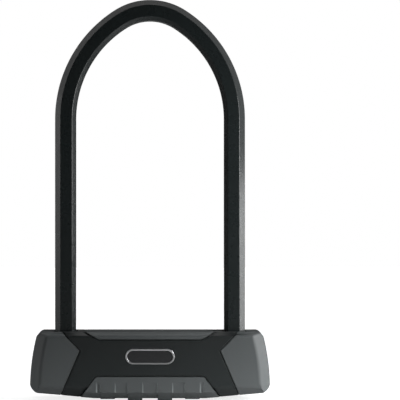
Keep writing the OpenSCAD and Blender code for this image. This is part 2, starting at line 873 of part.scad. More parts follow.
// A plate on a knuckle. The coil spring takes the knuckle's place at one end.
module keyhole_shutter() {
    plate_right = key_t / 2 + knuckle_r;
    half = shutter_half - snug;
    color("silver") difference() {
        union() {
            translate([shutter_x, -half, shutter_z - knuckle_r])
                cube([plate_right - shutter_x, 2 * half, knuckle_r]);
            translate([shutter_x, half, shutter_z])
                rotate([90, 0, 0]) cylinder(r = knuckle_r, h = 2 * half);
        }
        translate([shutter_x, 0, shutter_z])
            rotate([90, 0, 0]) cylinder(r = shutter_pin_r + running, h = 3 * half, center = true);
        translate([shutter_x, spring_end - spring_len - snug, shutter_z])
            translate([-knuckle_r - CUT, 0, -knuckle_r - CUT])
                cube([2 * knuckle_r + CUT + snug, spring_len + snug + CUT, 2 * (knuckle_r + CUT)]);
    }
}

// One unbroken coil of wire round the shutter's pin
module shutter_spring() {
    sides = WIRE_SIDES;
    rings = COIL_STEPS * spring_turns;
    rise = spring_len - 2 * spring_wire_r - 2 * snug;
    ring_points = [for (i = [0:rings], j = [0:sides - 1])
        let (a = 360 * spring_turns * i / rings,
             b = 360 * j / sides,
             r = spring_r + spring_wire_r * cos(b))
        [r * cos(a), r * sin(a), rise * i / rings + spring_wire_r * sin(b)]];
    walls = [for (i = [0:rings - 1], j = [0:sides - 1])
        let (k = (j + 1) % sides)
        each [[i * sides + j, (i + 1) * sides + j, (i + 1) * sides + k],
              [i * sides + j, (i + 1) * sides + k, i * sides + k]]];
    ends = [for (j = [1:sides - 2])
        each [[0, j, j + 1], [rings * sides, rings * sides + j + 1, rings * sides + j]]];
    color("silver")
        translate([shutter_x, spring_end - snug - spring_wire_r, shutter_z])
            rotate([90, 0, 0])
                polyhedron(ring_points, concat(walls, ends));
}

module core_barrel() {
    color("goldenrod") difference() {
        union() {
            translate([0, 0, barrel_bottom])
                cylinder(r = core_r, h = housing_top - barrel_bottom);
            translate([0, 0, housing_top + drive_h / 2 - EDGE])
                cube([drive_w, drive_w, drive_h + 2 * EDGE], center = true);
        }
        translate([0, 0, barrel_bottom - CUT])
            cylinder(r = bore_r, h = chamber_top - barrel_bottom + CUT);
        sidebar_block(snug, core_r + CUT, snug);
        translate([0, 0, screw_tip_z - snug])
            cylinder(r = screw_r + EDGE, h = BIG / 4);
    }
}

module sidebar_block(grow, outer, ends) {
    translate([sidebar_inner, -sidebar_w / 2 - grow, sidebar_bottom - ends])
        cube([outer - sidebar_inner, sidebar_w + 2 * grow, sidebar_top - sidebar_bottom + 2 * ends]);
}

module sidebar() {
    color("silver") sidebar_block(0, core_r - snug, 0);
}

// A disc with the key's slot, and a gate for the sidebar where one is asked for
module keyed_disc(z, t, gated) {
    difference() {
        translate([0, 0, z]) cylinder(r = disc_r, h = t);
        translate([-key_t / 2, -key_w / 2, z - CUT]) cube([key_t, key_w, t + 2 * CUT]);
        if (gated)
            translate([disc_r - gate_d, -sidebar_w / 2 - snug, z - CUT])
                cube([gate_d + CUT, sidebar_w + 2 * snug, t + 2 * CUT]);
    }
}

module drill_guard() {
    color("gray") keyed_disc(chamber_bottom, guard_t, false);
}

module code_discs() {
    for (i = [0:disc_count - 1])
        color("gold") keyed_disc(chamber_bottom + guard_t + i * (disc_t + spacer_t), disc_t, true);
}

module disc_spacers() {
    bottom = chamber_bottom + guard_t + disc_t + pressed;
    for (i = [0:disc_count - 1])
        color("silver") keyed_disc(bottom + i * (disc_t + spacer_t), spacer_t - 2 * pressed, true);
}

// Cam, its screw and the bolts

// Path of a follower pin in the turned cam: its radius grows evenly with the angle
function spiral(t, side_shift) =
    let (r = pin_start_r + bolt_throw * t,
         a = -TURN * t,
         tangent = unit([bolt_throw * cos(a) + r * TURN * PI / HALF_TURN * sin(a),
                         bolt_throw * sin(a) - r * TURN * PI / HALF_TURN * cos(a)]))
    [r * cos(a), r * sin(a)] + side_shift * [-tangent[1], tangent[0]];

// Points of a clockwise half circle between two points
function half_round(a, b) =
    let (arm = (a - b) / 2)
    [for (k = [1:CAM_STEPS - 1]) let (t = -HALF_TURN * k / CAM_STEPS)
        (a + b) / 2 + [arm[0] * cos(t) - arm[1] * sin(t), arm[0] * sin(t) + arm[1] * cos(t)]];

module cam_groove() {
    w = pin_d / 2 + snug;
    linear_extrude(cam_groove_d + CUT)
        polygon(concat([for (i = [0:CAM_STEPS]) spiral(i / CAM_STEPS, w)],
                       half_round(spiral(1, w), spiral(1, -w)),
                       [for (i = [CAM_STEPS:-1:0]) spiral(i / CAM_STEPS, -w)],
                       half_round(spiral(0, -w), spiral(0, w))));
}

module drive_cam() {
    color("lightsteelblue") difference() {
        translate([0, 0, cam_bottom]) cylinder(r = cam_r, h = cam_t);
        for (turn = [0, HALF_TURN])
            translate([0, 0, cam_top - cam_groove_d]) rotate([0, 0, turn]) cam_groove();
        translate([0, 0, cam_bottom])
            cube([drive_w + 2 * snug, drive_w + 2 * snug, 2 * drive_h], center = true);
        translate([0, 0, cam_bottom]) cylinder(r = screw_r + snug, h = cam_t + CUT);
        translate([0, 0, cam_top - screw_head_t - snug]) cylinder(r = screw_head_r + snug, h = cam_t);
    }
}

module cam_screw() {
    color("silver") {
        translate([0, 0, screw_tip_z]) cylinder(r = screw_r, h = cam_top - snug - screw_tip_z);
        translate([0, 0, cam_top - snug - screw_head_t]) cylinder(r = screw_head_r, h = screw_head_t);
    }
}

// The right bolt: a head that enters the foot's notch and a tongue that carries the follower pin
module bolt_shape() {
    difference() {
        union() {
            translate([bolt_tip_x - bolt_head_l, -bolt_d / 2, bolt_bottom])
                cube([bolt_head_l, bolt_d, bolt_h]);
            translate([tongue_end_x, -bolt_d / 2, tongue_bottom])
                cube([bolt_tip_x - bolt_head_l - tongue_end_x + CUT, bolt_d, tongue_h]);
        }
        translate([pin_start_r, 0, tongue_bottom - CUT]) cylinder(d = pin_d, h = CUT + pin_in + slide_gap);
    }
}

module bolt_pin_shape() {
    tip_z = cam_top - cam_groove_d + slide_gap;
    translate([pin_start_r, 0, tip_z])
        cylinder(r = pin_d / 2 - pressed, h = tongue_bottom + pin_in - tip_z);
}

module right_bolt() {
    color("lightgray") bolt_shape();
}

module left_bolt() {
    color("lightgray") mirror([1, 0, 0]) bolt_shape();
}

module right_bolt_pin() {
    color("silver") bolt_pin_shape();
}

module left_bolt_pin() {
    color("silver") mirror([1, 0, 0]) bolt_pin_shape();
}

shackle_bar();
shackle_sleeve();
steel_case();
left_end_plug();
right_end_plug();
front_carrier();
rear_carrier();
left_end_cap();
right_end_cap();
front_cover();
rear_cover();
top_panel();
grip_panel();
badge_rim();
badge_plate();
left_leg_seal();
right_leg_seal();
left_foot_bumper();
right_foot_bumper();
cylinder_housing();
housing_pins();
core_face();
core_barrel();
drill_guard();
code_discs();
disc_spacers();
sidebar();
drive_cam();
cam_screw();
shutter_pin();
shutter_spring();
keyhole_shutter();
left_bolt();
left_bolt_pin();
right_bolt();
right_bolt_pin();
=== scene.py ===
"""Looks of a bicycle U-lock: vinyl-coated shackle, moulded covers, badge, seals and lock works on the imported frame."""

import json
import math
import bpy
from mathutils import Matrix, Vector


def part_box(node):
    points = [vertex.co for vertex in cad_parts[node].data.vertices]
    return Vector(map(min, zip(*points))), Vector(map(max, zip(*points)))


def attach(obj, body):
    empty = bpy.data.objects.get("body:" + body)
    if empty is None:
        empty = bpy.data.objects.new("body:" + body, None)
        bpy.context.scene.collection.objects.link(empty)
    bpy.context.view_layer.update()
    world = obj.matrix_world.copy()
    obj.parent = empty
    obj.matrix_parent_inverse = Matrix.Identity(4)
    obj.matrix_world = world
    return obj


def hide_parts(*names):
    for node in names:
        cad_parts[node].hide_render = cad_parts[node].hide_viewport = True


bl_info = {
    "name": "U-lock looks",
    "version": (1, 0, 0),
    "blender": (4, 5, 0),
    "location": "3D View > Sidebar > U-lock",
    "description": "Dresses the packed U-lock with a coated shackle, moulded covers and a studio stage",
    "category": "Object",
}

import bmesh
import bpy
from bpy.props import FloatProperty, FloatVectorProperty, IntProperty, PointerProperty
from mathutils import Vector

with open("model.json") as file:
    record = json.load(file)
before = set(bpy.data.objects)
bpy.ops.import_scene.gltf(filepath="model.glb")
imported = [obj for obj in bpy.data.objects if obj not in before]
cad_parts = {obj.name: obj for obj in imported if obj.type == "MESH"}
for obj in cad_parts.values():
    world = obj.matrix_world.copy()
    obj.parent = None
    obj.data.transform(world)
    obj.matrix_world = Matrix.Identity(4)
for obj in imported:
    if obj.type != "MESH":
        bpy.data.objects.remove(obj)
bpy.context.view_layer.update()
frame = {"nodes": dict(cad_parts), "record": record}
PHOTO_PIXELS = 400
SENSOR_WIDTH = 36.0
FLOOR_HALF = 2.5

# Vertices of a solid's mesh that lie closer than this are one vertex.
SAME_POINT = 0.000002
# Edges that rounding leaves shorter than this are closed up.
LEAST_EDGE = 0.000005
# Neighbouring triangles that turn by less than this belong to one flat.
FLAT_TURN = math.radians(0.05)
# Edges that turn by more than this stay sharp in the shading.
SHARP_TURN = math.radians(38.0)
# Skin edges that turn by more than this are borders of a cover, not folds.
FOLD_LIMIT = math.radians(78.0)
# The ends of the body lie farther out than this.
END_X = 0.068
# Material index for rounding that takes its neighbours' material.
KEEP_MATERIAL = -1
EDGE_MATERIAL = 1
# Material index for the steps by the grip pads, painted pale as a highlight.
HIGHLIT_MATERIAL = 2

BODY_OF = {node: body for body, nodes in frame["record"]["behaviour"]["bodies"].items() for node in nodes}
SLOT_OF = {part["node"]: part["material_slot"] for part in frame["record"]["subparts"]}


def length(name, description, default):
    return FloatProperty(name=name, description=description, default=default, min=0.0, unit="LENGTH", precision=5)


def colour(name, description, default):
    return FloatVectorProperty(name=name, description=description, default=default, subtype="COLOR", min=0.0, max=1.0)


def share(name, description, default):
    return FloatProperty(name=name, description=description, default=default, min=0.0, max=1.0, subtype="FACTOR")


def power(name, description, default):
    return FloatProperty(name=name, description=description, default=default, min=0.0, unit="POWER")


class ULOCK_PG_shape(bpy.types.PropertyGroup):
    """Radii and steps of the dressed pieces."""

    coated_width: length("Coated width", "Width of the vinyl-coated bar across its flats", 0.0151)
    outer_flat: length("Outer edge flat", "Flat cut off the outer edges, measured along a face", 0.0042)
    inner_flat: length("Inner edge flat", "Flat cut off the inner edges, measured along a face", 0.0026)
    coat_thickness: length("Coat thickness", "Wall of the vinyl coat as it is fitted on the bar", 0.00095)
    crown_radius: length("Crown radius", "Bend radius of the crown at the middle of the bar", 0.0401)
    shoulder_radius: length("Shoulder radius", "Bend radius of the shoulders at the middle of the bar", 0.0863)
    vinyl_edge: length("Vinyl edge radius", "Rounding between the flats of the coat", 0.0008)
    bend_steps: IntProperty(name="Bend steps", description="Sections along each bend of the coat", default=48, min=8)
    fold_edge: length("Fold rounding", "Width of the rounding on each side of a fold in the covers' skin", 0.0013)
    cap_edge: length("End cap rounding", "The same on the end caps, which are softer", 0.0015)
    pad_edge: length("Pad rounding", "The same on the grip panel with its pads and recesses", 0.00016)
    cover_edge: length("Cover edge rounding", "Width of the rounding on each side of a cover's cut edges", 0.00022)
    rim_edge: length("Badge rim rounding", "Width of the rounding on each side of the badge rim's edges", 0.0004)
    sliver: length("Sliver", "Edges shorter than this are closed up before rounding", 0.00008)
    metal_edge: length("Metal edge radius", "Rounding of the visible metal edges", 0.00015)
    crease: FloatProperty(
        name="Crease angle", description="Edges that turn by more than this are rounded", default=math.radians(11.0),
        min=0.0, max=math.pi, subtype="ANGLE")
    fold: FloatProperty(
        name="Fold angle", description="Edges in the covers' skin that turn by more than this are folds",
        default=math.radians(15.0), min=0.0, max=math.pi, subtype="ANGLE")
    cut: FloatProperty(
        name="Cut angle", description="Edges of the covers that turn by more than this are cut edges and not folds",
        default=math.radians(60.0), min=0.0, max=math.pi, subtype="ANGLE")


class ULOCK_PG_finish(bpy.types.PropertyGroup):
    """Colours and gloss of the finishes."""

    vinyl: colour("Vinyl", "Black vinyl of the shackle's coat", (0.0105, 0.0138, 0.0141))
    grey: colour("Cover grey", "Dark grey of the end caps and panels", (0.08, 0.089, 0.091))
    black: colour("Band black", "Soft-touch black of the crossed band", (0.0095, 0.0132, 0.0136))
    chrome: colour("Badge rim", "Bright plating of the badge's rim", (0.58, 0.59, 0.6))
    field: colour("Badge field", "Smooth black field inside the rim", (0.012, 0.013, 0.014))
    rubber: colour("Rubber", "Seals and bumpers", (0.01, 0.01, 0.01))
    steel: colour("Hardened steel", "Bar, case, bolts and cam", (0.36, 0.37, 0.38))
    stainless: colour("Stainless steel", "Key face, shutter and pins", (0.58, 0.58, 0.57))
    alloy: colour("Cast alloy", "Carrier halves", (0.5, 0.51, 0.52))
    brass: colour("Brass", "Cylinder housing, core and discs", (0.6, 0.42, 0.16))
    # Painted highlight: the steps beside the grip pads are painted this many times paler, to show lit edges by the
    # pads.
    pad_step_highlight: FloatProperty(
        name="Pad step highlight", description="How many times paler the worn steps beside the grip pads are",
        default=2.2, min=1.0)
    vinyl_roughness: share("Vinyl roughness", "Mean roughness of the coat", 0.28)
    grey_roughness: share("Grey roughness", "Mean roughness of the grey covers", 0.5)
    black_roughness: share("Black roughness", "Mean roughness of the soft-touch band", 0.46)


class ULOCK_PG_stage(bpy.types.PropertyGroup):
    """Camera, floor and lamps."""

    camera_distance: length("Camera distance", "From the lens to the plane of the shackle", 1.3)
    camera_height: length("Camera height", "Level of the lens above the floor", 0.1448)
    focal_pixels: FloatProperty(
        name="Focal length", description="In pixels of the square picture", default=1782.0, min=1.0)
    shift: FloatProperty(name="Sideways shift", description="Lens shift as a share of the picture", default=0.125)
    floor: colour("Floor", "Pale floor", (0.76, 0.76, 0.76))
    floor_near: share("Floor white near", "White that the lens sees on top of the floor's own light, by the lock", 0.8)
    floor_far: share("Floor white far", "The same, away from the lamps", 0.99)
    floor_reach: length("Floor reach", "Distance at which the floor counts as far", 0.9)
    ambient: share("Ambient", "Even light from all round", 0.02)
    ring_light: FloatProperty(
        name="Ring light", description="Strength of the narrow band of light round the lock's own plane",
        default=3.5, min=0.0)
    ring_width: FloatProperty(
        name="Ring width", description="Half angle of that band", default=math.radians(6.0), min=0.0, subtype="ANGLE")
    ring_lean: FloatProperty(
        name="Ring lean", description="How far the middle of that band lies behind the lock's plane",
        default=math.radians(5.0), min=0.0, subtype="ANGLE")
    key_power: power("Key lamp", "Power of the near soft lamp at the front right", 1.2)
    rim_power: power("Rim lamp", "Power of the low strip at the right", 0.036)
    left_power: power("Left lamp", "Power of the faint strip at the left", 0.052)
    back_power: power("Back lamp", "Power of the soft lamp above and behind the lock", 0.27)


class Finish:
    """A material under construction: one Principled shader fed by procedural textures in the part's own metres."""

    def __init__(self, name, **sockets):
        self.material = bpy.data.materials.new(name)
        self.material.use_nodes = True
        self.nodes = self.material.node_tree.nodes
        self.links = self.material.node_tree.links
        self.shader = self.nodes["Principled BSDF"]
        self.place = self.nodes.new("ShaderNodeTexCoord").outputs["Object"]
        for socket, value in sockets.items():
            self.shader.inputs[socket.replace("_", " ")].default_value = value

    def stretched(self, scale):
        """Coordinates scaled along each axis, for grain that runs one way."""
        mapping = self.nodes.new("ShaderNodeMapping")
        mapping.inputs["Scale"].default_value = scale
        self.links.new(self.place, mapping.inputs["Vector"])
        return mapping.outputs["Vector"]

    def noise(self, scale, detail=3.0, place=None):
        texture = self.nodes.new("ShaderNodeTexNoise")
        texture.inputs["Scale"].default_value = scale
        texture.inputs["Detail"].default_value = detail
        self.links.new(place or self.place, texture.inputs["Vector"])
        return texture.outputs["Fac"]

    def cells(self, scale):
        """Small rounded cells, as spark erosion leaves on a mould."""
        texture = self.nodes.new("ShaderNodeTexVoronoi")
        texture.feature = "SMOOTH_F1"
        texture.inputs["Scale"].default_value = scale
        self.links.new(self.place, texture.inputs["Vector"])
        return texture.outputs["Distance"]

    def rings(self, scale):
        """Turning marks round the upright axis."""
        texture = self.nodes.new("ShaderNodeTexWave")
        texture.wave_type = "RINGS"
        texture.rings_direction = "Z"
        texture.inputs["Scale"].default_value = scale
        texture.inputs["Distortion"].default_value = 0.6
        self.links.new(self.place, texture.inputs["Vector"])
        return texture.outputs["Fac"]

    def tint(self, factor, base, spread):
        """Base colour that wanders by a share of itself."""
        mix = self.nodes.new("ShaderNodeMix")
        mix.data_type = "RGBA"
        mix.inputs["A"].default_value = [c * (1.0 - spread) for c in base] + [1.0]
        mix.inputs["B"].default_value = [min(c * (1.0 + spread), 1.0) for c in base] + [1.0]
        self.links.new(factor, mix.inputs["Factor"])
        self.links.new(mix.outputs["Result"], self.shader.inputs["Base Color"])

    def painted_light_by_height(self, low, high, spread):
        """Painted light and shade: base colour painted paler at the low level and darker at the high one, for how the
        light falls. A spread below 0 reverses it.
        """
        axes = self.nodes.new("ShaderNodeSeparateXYZ")
        self.links.new(self.place, axes.inputs["Vector"])
        level = self.nodes.new("ShaderNodeMapRange")
        level.inputs["From Min"].default_value = low
        level.inputs["From Max"].default_value = high
        level.inputs["To Min"].default_value = 1.0 + spread
        level.inputs["To Max"].default_value = 1.0 - spread
        self.links.new(axes.outputs["Z"], level.inputs["Value"])
        base = self.shader.inputs["Base Color"]
        fade = self.nodes.new("ShaderNodeVectorMath")
        fade.operation = "SCALE"
        self.links.new(base.links[0].from_socket, fade.inputs[0])
        self.links.new(level.outputs["Result"], fade.inputs["Scale"])
        self.links.new(fade.outputs["Vector"], base)

    def gloss(self, factor, mean, spread):
        """Roughness that wanders about its mean."""
        ramp = self.nodes.new("ShaderNodeMapRange")
        ramp.inputs["To Min"].default_value = mean - spread
        ramp.inputs["To Max"].default_value = mean + spread
        self.links.new(factor, ramp.inputs["Value"])
        self.links.new(ramp.outputs["Result"], self.shader.inputs["Roughness"])

    def relief(self, height, depth, strength):
        """Fine surface relief of the given depth in metres."""
        bump = self.nodes.new("ShaderNodeBump")
        bump.inputs["Distance"].default_value = depth
        bump.inputs["Strength"].default_value = strength
        before = self.shader.inputs["Normal"].links
        if before:
            self.links.new(before[0].from_socket, bump.inputs["Normal"])
        self.links.new(height, bump.inputs["Height"])
        self.links.new(bump.outputs["Normal"], self.shader.inputs["Normal"])


def vinyl_finish(settings):
    finish = Finish("vinyl_coat", Specular_IOR_Level=0.36)
    finish.tint(finish.noise(60.0), settings.vinyl, 0.12)
    finish.gloss(finish.noise(180.0), settings.vinyl_roughness, 0.04)
    finish.relief(finish.noise(900.0, 2.0), 0.00004, 0.06)
    finish.relief(finish.noise(5200.0, 2.0), 0.00002, 0.1)
    return finish.material


def grey_finish(settings):
    finish = Finish("cover_grey", Specular_IOR_Level=0.5)
    finish.tint(finish.noise(45.0), settings.grey, 0.05)
    # Painted light and shade: the grey is painted paler towards the bottom and darker towards the top.
    finish.painted_light_by_height(0.008, 0.048, 0.24)
    finish.gloss(finish.noise(220.0), settings.grey_roughness, 0.05)
    finish.relief(finish.cells(2600.0), 0.00003, 0.35)
    finish.relief(finish.noise(7000.0, 2.0), 0.00002, 0.25)
    return finish.material


def grey_edge_finish(settings):
    """Edges of the grey covers, where the grain runs out and handling has polished it."""
    finish = Finish("cover_grey_edge", Specular_IOR_Level=0.5)
    finish.tint(finish.noise(400.0), [1.12 * c for c in settings.grey], 0.08)
    finish.gloss(finish.noise(300.0), settings.grey_roughness - 0.1, 0.05)
    return finish.material


def pad_step_highlight_finish(settings):
    """Steps beside the grip pads, painted pale: a painted highlight on the walls that face the light, and lighter
    shade on those that face away.
    """
    finish = Finish("cover_grey_worn", Specular_IOR_Level=0.5)
    finish.tint(finish.noise(900.0), [settings.pad_step_highlight * c for c in settings.grey], 0.12)
    finish.gloss(finish.noise(500.0), settings.grey_roughness - 0.12, 0.05)
    return finish.material


def black_finish(settings):
    finish = Finish("band_black", Specular_IOR_Level=0.45, Sheen_Weight=0.04, Sheen_Roughness=0.4)
    finish.tint(finish.noise(50.0), settings.black, 0.08)
    # Painted light and shade: the black band is painted paler towards the bottom and darker towards the top.
    finish.painted_light_by_height(0.008, 0.048, 0.35)
    finish.gloss(finish.noise(160.0), settings.black_roughness, 0.04)
    finish.relief(finish.noise(6000.0, 3.0), 0.00002, 0.25)
    return finish.material


def black_edge_finish(settings):
    """Edges of the black band, rubbed a little smoother."""
    finish = Finish("band_black_edge", Specular_IOR_Level=0.5)
    finish.tint(finish.noise(400.0), [1.2 * c for c in settings.black], 0.08)
    finish.gloss(finish.noise(300.0), settings.black_roughness - 0.1, 0.04)
    return finish.material


def chrome_finish(settings):
    finish = Finish("badge_chrome", Metallic=1.0)
    finish.tint(finish.noise(300.0), settings.chrome, 0.04)
    # Painted reflection: the rim is painted darker towards its bottom and paler towards its top.
    finish.painted_light_by_height(0.026, 0.038, -0.25)
    finish.gloss(finish.noise(900.0, 2.0, finish.stretched((1.0, 1.0, 6.0))), 0.3, 0.05)
    return finish.material


def field_finish(settings):
    finish = Finish("badge_field", Specular_IOR_Level=0.5, Coat_Weight=0.3, Coat_Roughness=0.1)
    finish.tint(finish.noise(250.0), settings.field, 0.1)
    finish.gloss(finish.noise(1500.0, 2.0, finish.stretched((0.2, 1.0, 6.0))), 0.3, 0.05)
    return finish.material


def rubber_finish(settings):
    finish = Finish("seal_rubber", Specular_IOR_Level=0.35)
    finish.tint(finish.noise(200.0), settings.rubber, 0.15)
    finish.gloss(finish.noise(700.0), 0.7, 0.06)
    finish.relief(finish.noise(3000.0), 0.00003, 0.3)
    return finish.material


def steel_finish(settings):
    finish = Finish("hardened_steel", Metallic=1.0)
    finish.tint(finish.noise(120.0), settings.steel, 0.1)
    finish.gloss(finish.noise(900.0, 3.0, finish.stretched((4.0, 4.0, 0.25))), 0.36, 0.08)
    finish.relief(finish.noise(2200.0, 2.0, finish.stretched((4.0, 4.0, 0.1))), 0.00001, 0.3)
    return finish.material


def stainless_finish(settings):
    finish = Finish("key_face_steel", Metallic=1.0)
    finish.tint(finish.noise(500.0), settings.stainless, 0.06)
    finish.gloss(finish.rings(2200.0), 0.28, 0.06)
    finish.relief(finish.rings(3200.0), 0.000006, 0.3)
    return finish.material


def alloy_finish(settings):
    finish = Finish("carrier_alloy", Metallic=1.0)
    finish.tint(finish.noise(150.0), settings.alloy, 0.08)
    finish.gloss(finish.noise(400.0), 0.52, 0.08)
    finish.relief(finish.noise(1500.0, 4.0), 0.00005, 0.35)
    return finish.material


def brass_finish(settings):
    finish = Finish("cylinder_brass", Metallic=1.0)
    finish.tint(finish.noise(300.0), settings.brass, 0.08)
    finish.gloss(finish.rings(1600.0), 0.3, 0.07)
    finish.relief(finish.rings(2600.0), 0.000008, 0.3)
    return finish.material


FINISHES = {
    "vinyl_coat": (vinyl_finish,),
    "cover_grey": (grey_finish, grey_edge_finish),
    "band_black": (black_finish, black_edge_finish),
    "badge_chrome": (chrome_finish,),
    "badge_field": (field_finish,),
    "seal_rubber": (rubber_finish,),
    "hardened_steel": (steel_finish,),
    "key_face_steel": (stainless_finish,),
    "carrier_alloy": (alloy_finish,),
    "cylinder_brass": (brass_finish,),
}


MADE = {}


def made(context, maker):
    """A finish's material, made the first time that it is asked for."""
    if maker not in MADE:
        MADE[maker] = maker(context.scene.ulock_finish)
    return MADE[maker]


def finishes_of(context, node):
    """The face and edge materials of a node's slot."""
    return [made(context, maker) for maker in FINISHES[SLOT_OF[node]]]


def place_piece(context, mesh, node):
    """Puts a finished mesh in the node's place, on its body and in its slot."""
    piece = bpy.data.objects.new(node + "_dressed", mesh)
    context.scene.collection.objects.link(piece)
    for material in finishes_of(context, node):
        mesh.materials.append(material)
    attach(piece, BODY_OF[node])
    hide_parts(node)
    return piece


def even_shading(piece):
    """Keeps flats flat and leaves the shading's turn to the rounded edges."""
    for polygon in piece.data.polygons:
        polygon.use_smooth = True
    piece.data.set_sharp_from_angle(angle=SHARP_TURN)
    weigh = piece.modifiers.new("even_shading", "WEIGHTED_NORMAL")
    weigh.keep_sharp = True
    weigh.weight = 80


def joined_flats(node, sliver):
    """A solid's mesh with its triangles joined into flats, and slivers closed up."""
    work = bmesh.new()
    work.from_mesh(frame["nodes"][node].data)
    bmesh.ops.remove_doubles(work, verts=work.verts, dist=SAME_POINT)
    bmesh.ops.dissolve_limit(work, angle_limit=FLAT_TURN, verts=work.verts, edges=work.edges)
    if sliver > 0.0:
        bmesh.ops.remove_doubles(work, verts=work.verts, dist=sliver)
        bmesh.ops.dissolve_degenerate(work, edges=work.edges, dist=sliver / 4)
    return work


def creases(work, least):
    """Edges between two faces that turn by more than the given angle."""
    return [e for e in work.edges if len(e.link_faces) == 2 and e.calc_face_angle(0.0) > least]


def round_off(work, edges, width, steps, clamp, material):
    """Replaces edges by a rounding that reaches the given width into each face."""
    bmesh.ops.bevel(
        work, geom=edges, offset=width, offset_type="OFFSET", segments=steps, profile=0.5, affect="EDGES",
        clamp_overlap=clamp, material=material)


def finished_copy(context, node, work):
    """Puts a rounded mesh in its solid's place, free of faces without area and kept within the solid's box."""
    bmesh.ops.remove_doubles(work, verts=work.verts, dist=LEAST_EDGE)
    bmesh.ops.dissolve_degenerate(work, edges=work.edges, dist=LEAST_EDGE)
    corners = frame["nodes"][node].bound_box
    for vert in work.verts:
        vert.co = [min(max(c, low), high) for c, low, high in zip(vert.co, corners[0], corners[6])]
    mesh = bpy.data.meshes.new(node + "_dressed")
    work.to_mesh(mesh)
    work.free()
    if "custom_normal" in mesh.attributes:
        mesh.attributes.remove(mesh.attributes["custom_normal"])
    piece = place_piece(context, mesh, node)
    even_shading(piece)
    return piece


def rounded_copy(context, node, width):
    """A copy of a solid with its edges rounded."""
    work = joined_flats(node, 0.0)
    round_off(work, creases(work, context.scene.ulock_shape.crease), width, 3, True, KEEP_MATERIAL)
    finished_copy(context, node, work)


def levels():
    """Heights of the body's flat top and of the line below which its underside begins."""
    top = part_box("top_panel")[1].z
    return top, top / 4


def on_skin(face):
    """True for a face that is taken as skin: it leans to the front or back, or is flat top, underside or end."""
    top, low = levels()
    normal, middle = face.normal, face.calc_center_median()
    if abs(normal.y) > 0.2:
        return True
    if normal.z > 0.99:
        return middle.z > top - 0.0002
    if normal.z < -0.98:
        return middle.z < low
    return abs(middle.x) > END_X and normal.x * middle.x > 0.0


def is_fold(edge, width):
    """True for an outward fold in the skin, but not for the short steps round the corners, where folds crowd."""
    if not edge.is_convex or edge.calc_face_angle() > FOLD_LIMIT:
        return False
    return edge.calc_length() > width and all(on_skin(face) for face in edge.link_faces)


def moulded_copy(context, node, fold, highlit=False):
    """A copy of a cover with soft folds in its skin, small radii on its cut edges and, if asked, the steps by its pads
    painted pale as a highlight.
    """
    shape = context.scene.ulock_shape
    work = joined_flats(node, shape.sliver)
    folds = [e for e in creases(work, shape.fold) if is_fold(e, fold)]
    round_off(work, folds, fold, 4, False, KEEP_MATERIAL)
    for face in work.faces:
        # Side walls of the pads get the paler material: a painted highlight.
        if highlit and abs(face.normal.x) > 0.3 and on_skin(face):
            face.material_index = HIGHLIT_MATERIAL
    cuts = [e for e in creases(work, shape.cut) if e.is_convex]
    round_off(work, cuts, shape.cover_edge, 2, False, EDGE_MATERIAL)
    piece = finished_copy(context, node, work)
    if highlit:
        piece.data.materials.append(made(context, pad_step_highlight_finish))


def coat_section(width, outer, inner, radius, arc_steps):
    """Section of the coated bar, corners rounded. The first coordinate grows away from the loop's middle."""
    h = width / 2
    corners = [
        Vector(p) for p in (
            (-h + inner, -h), (h - outer, -h), (h, -h + outer), (h, h - outer),
            (h - outer, h), (-h + inner, h), (-h, h - inner), (-h, -h + inner))]
    if radius <= 0.0:
        return corners
    points = []
    for i, corner in enumerate(corners):
        before = (corner - corners[i - 1]).normalized()
        after = (corners[(i + 1) % len(corners)] - corner).normalized()
        turn = before.angle(after)
        start = corner - before * radius * math.tan(turn / 2)
        centre = start + Vector((-before.y, before.x)) * radius
        arm = start - centre
        for k in range(arc_steps + 1):
            t = turn * k / arc_steps
            points.append(centre + Vector((
                arm.x * math.cos(t) - arm.y * math.sin(t), arm.x * math.sin(t) + arm.y * math.cos(t))))
    return points


def shackle_stations(shape):
    """Centres and outward directions along the U, from the left foot of the coat to the right one."""
    low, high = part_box("shackle_sleeve")
    leg_x = high.x - shape.coated_width / 2
    crown_z = high.z - shape.coated_width / 2 - shape.crown_radius
    rest = shape.shoulder_radius - leg_x
    turn = math.acos(rest / (shape.shoulder_radius - shape.crown_radius))
    spring_z = crown_z - math.sqrt((shape.shoulder_radius - shape.crown_radius) ** 2 - rest ** 2)
    steps = shape.bend_steps
    right = [(Vector((leg_x, 0.0, low.z)), Vector((1.0, 0.0, 0.0)))]
    for k in range(steps + 1):
        a = turn * k / steps
        out = Vector((math.cos(a), 0.0, math.sin(a)))
        right.append((Vector((-rest, 0.0, spring_z)) + out * shape.shoulder_radius, out))
    for k in range(1, steps + 1):
        a = turn + (math.pi / 2 - turn) * k / steps
        out = Vector((math.cos(a), 0.0, math.sin(a)))
        right.append((Vector((0.0, 0.0, crown_z)) + out * shape.crown_radius, out))
    left = [(Vector((-c.x, 0.0, c.z)), Vector((-o.x, 0.0, o.z))) for c, o in right[:-1]]
    return left + right[::-1]


def sweep(stations, outside, inside):
    """A closed tube along the stations, with an outer and an inner skin that meet at the ends."""
    work = bmesh.new()
    skins = []
    for section in (outside, inside):
        skins.append([
            [work.verts.new(centre + out * p.x + Vector((0.0, p.y, 0.0))) for p in section]
            for centre, out in stations])
    for skin, flip in zip(skins, (False, True)):
        for a, b in zip(skin, skin[1:]):
            n = len(a)
            for i in range(n):
                quad = [a[i], a[(i + 1) % n], b[(i + 1) % n], b[i]]
                work.faces.new(quad[::-1] if flip else quad)
    for end in (0, -1):
        rims = [e for skin in skins for e in loop_edges(work, skin[end])]
        bmesh.ops.bridge_loops(work, edges=rims)
    bmesh.ops.recalc_face_normals(work, faces=work.faces)
    mesh = bpy.data.meshes.new("vinyl_sweep")
    work.to_mesh(mesh)
    work.free()
    return mesh


def loop_edges(work, ring):
    """The edges of a closed ring of vertices."""
    return [work.edges.get((ring[i - 1], ring[i])) for i in range(len(ring))]


